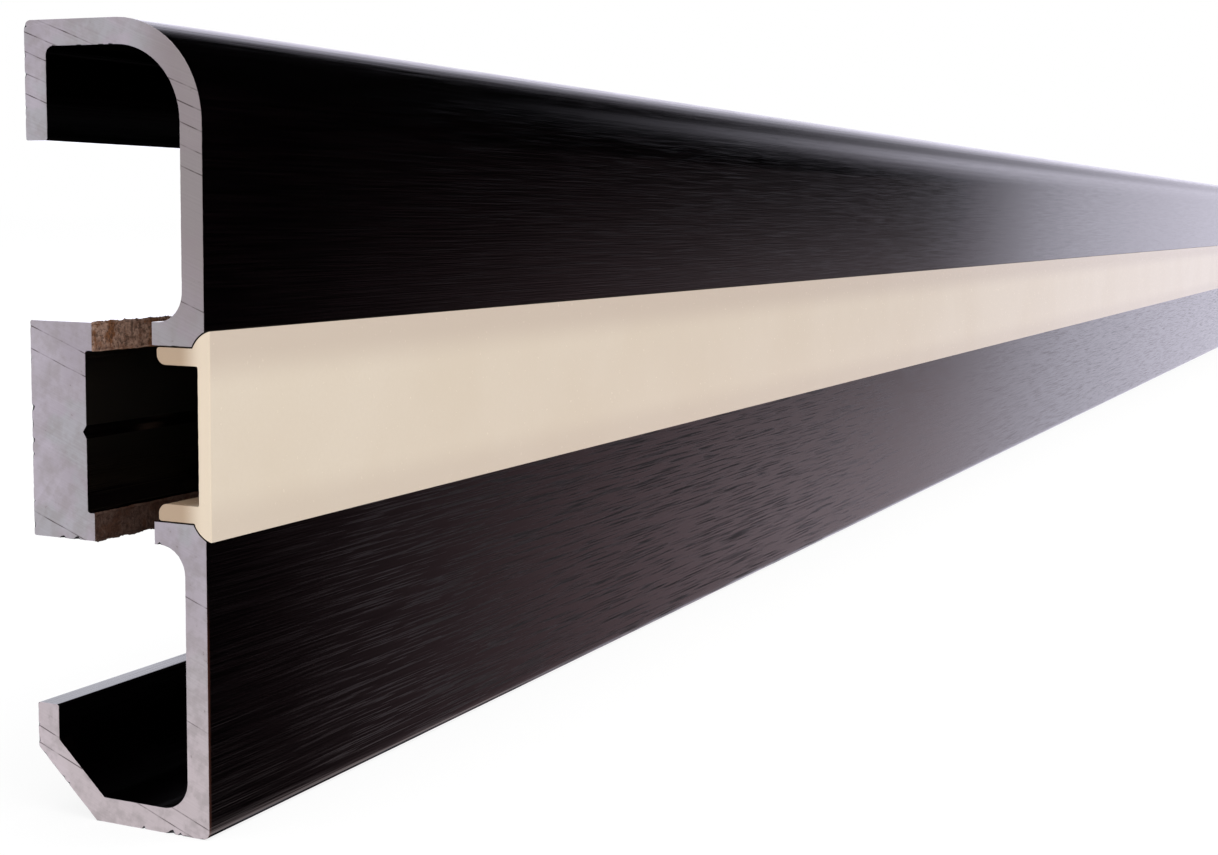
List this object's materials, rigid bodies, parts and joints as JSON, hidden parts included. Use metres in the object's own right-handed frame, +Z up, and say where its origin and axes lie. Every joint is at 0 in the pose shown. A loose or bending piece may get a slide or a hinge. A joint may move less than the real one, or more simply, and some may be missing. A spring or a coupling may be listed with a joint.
{
  "type": "metal extrusion profile",
  "caption": "Black anodised aluminium rail profile with a hooked rounded top, a solid rear bar, a trough foot and a cream plastic strip snapped into its front slot",
  "frame": {"origin": "under the middle of the stock, on the plane of the foot", "axes": "X runs along the stock, with the notched near end at -X; the front face with the strip looks along -Y; Z is up"},
  "size_m": [1, 0.0218, 0.08],
  "materials": {
    "anodised_aluminium": "brushed, black anodised, with bare sawn ends",
    "strip_plastic": "matte cream"
  },
  "bodies": {
    "root": {"profile": "anodised_aluminium", "insert_strip": "strip_plastic"}
  },
  "joints": []
}
